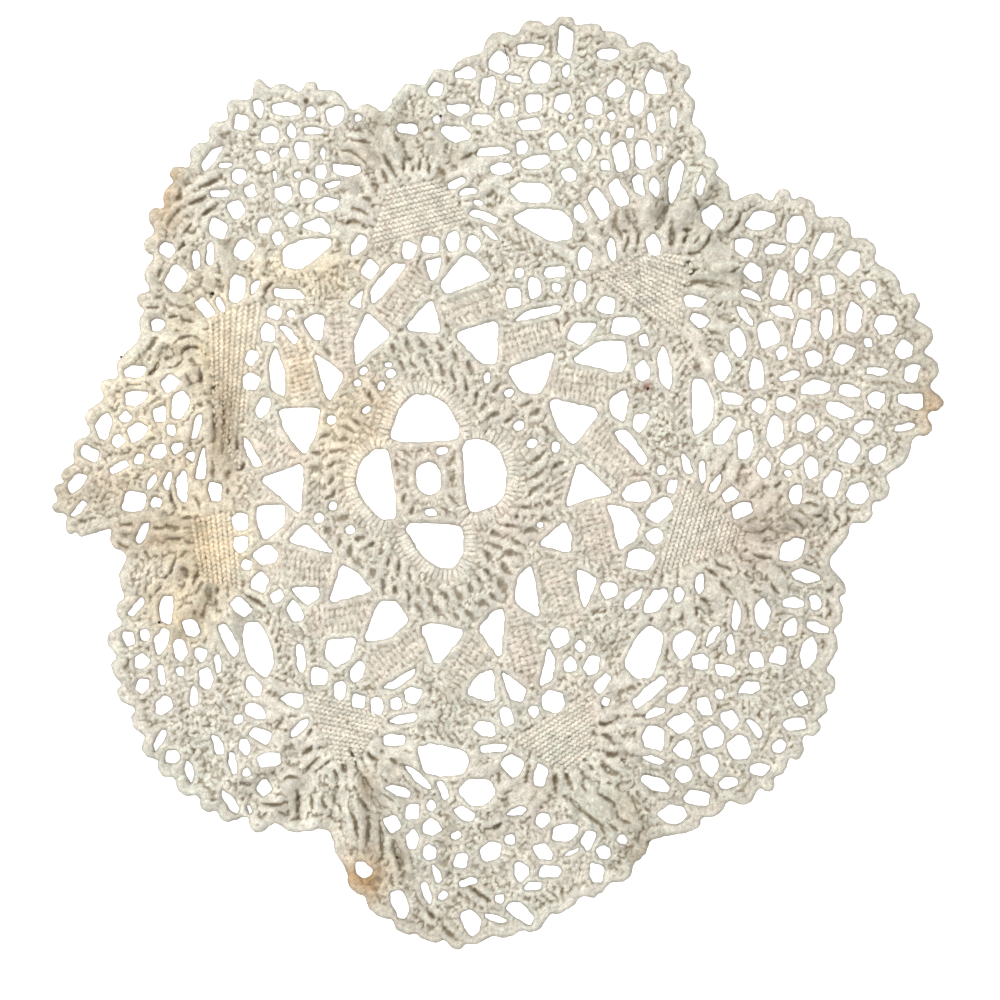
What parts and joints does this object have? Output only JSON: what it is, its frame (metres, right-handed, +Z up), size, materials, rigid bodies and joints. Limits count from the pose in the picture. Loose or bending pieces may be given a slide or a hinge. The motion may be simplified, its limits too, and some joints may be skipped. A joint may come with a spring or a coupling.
{
  "type": "lace doily",
  "caption": "Round crocheted lace doily with a scalloped, gently ruffled rim, solid wedges, an open net and a raised band round a small middle ring; lies flat on a surface.",
  "frame": {"origin": "on the table under the middle of the doily's bounding box", "axes": "+Z up from the table, +Y away from the viewer towards the two upper petals, +X to the right towards the widest petal"},
  "size_m": [0.2678, 0.2802, 0.0072],
  "materials": {
    "cotton": "matt cream crochet cotton"
  },
  "bodies": {
    "root": {"doily": "cotton"}
  },
  "joints": []
}
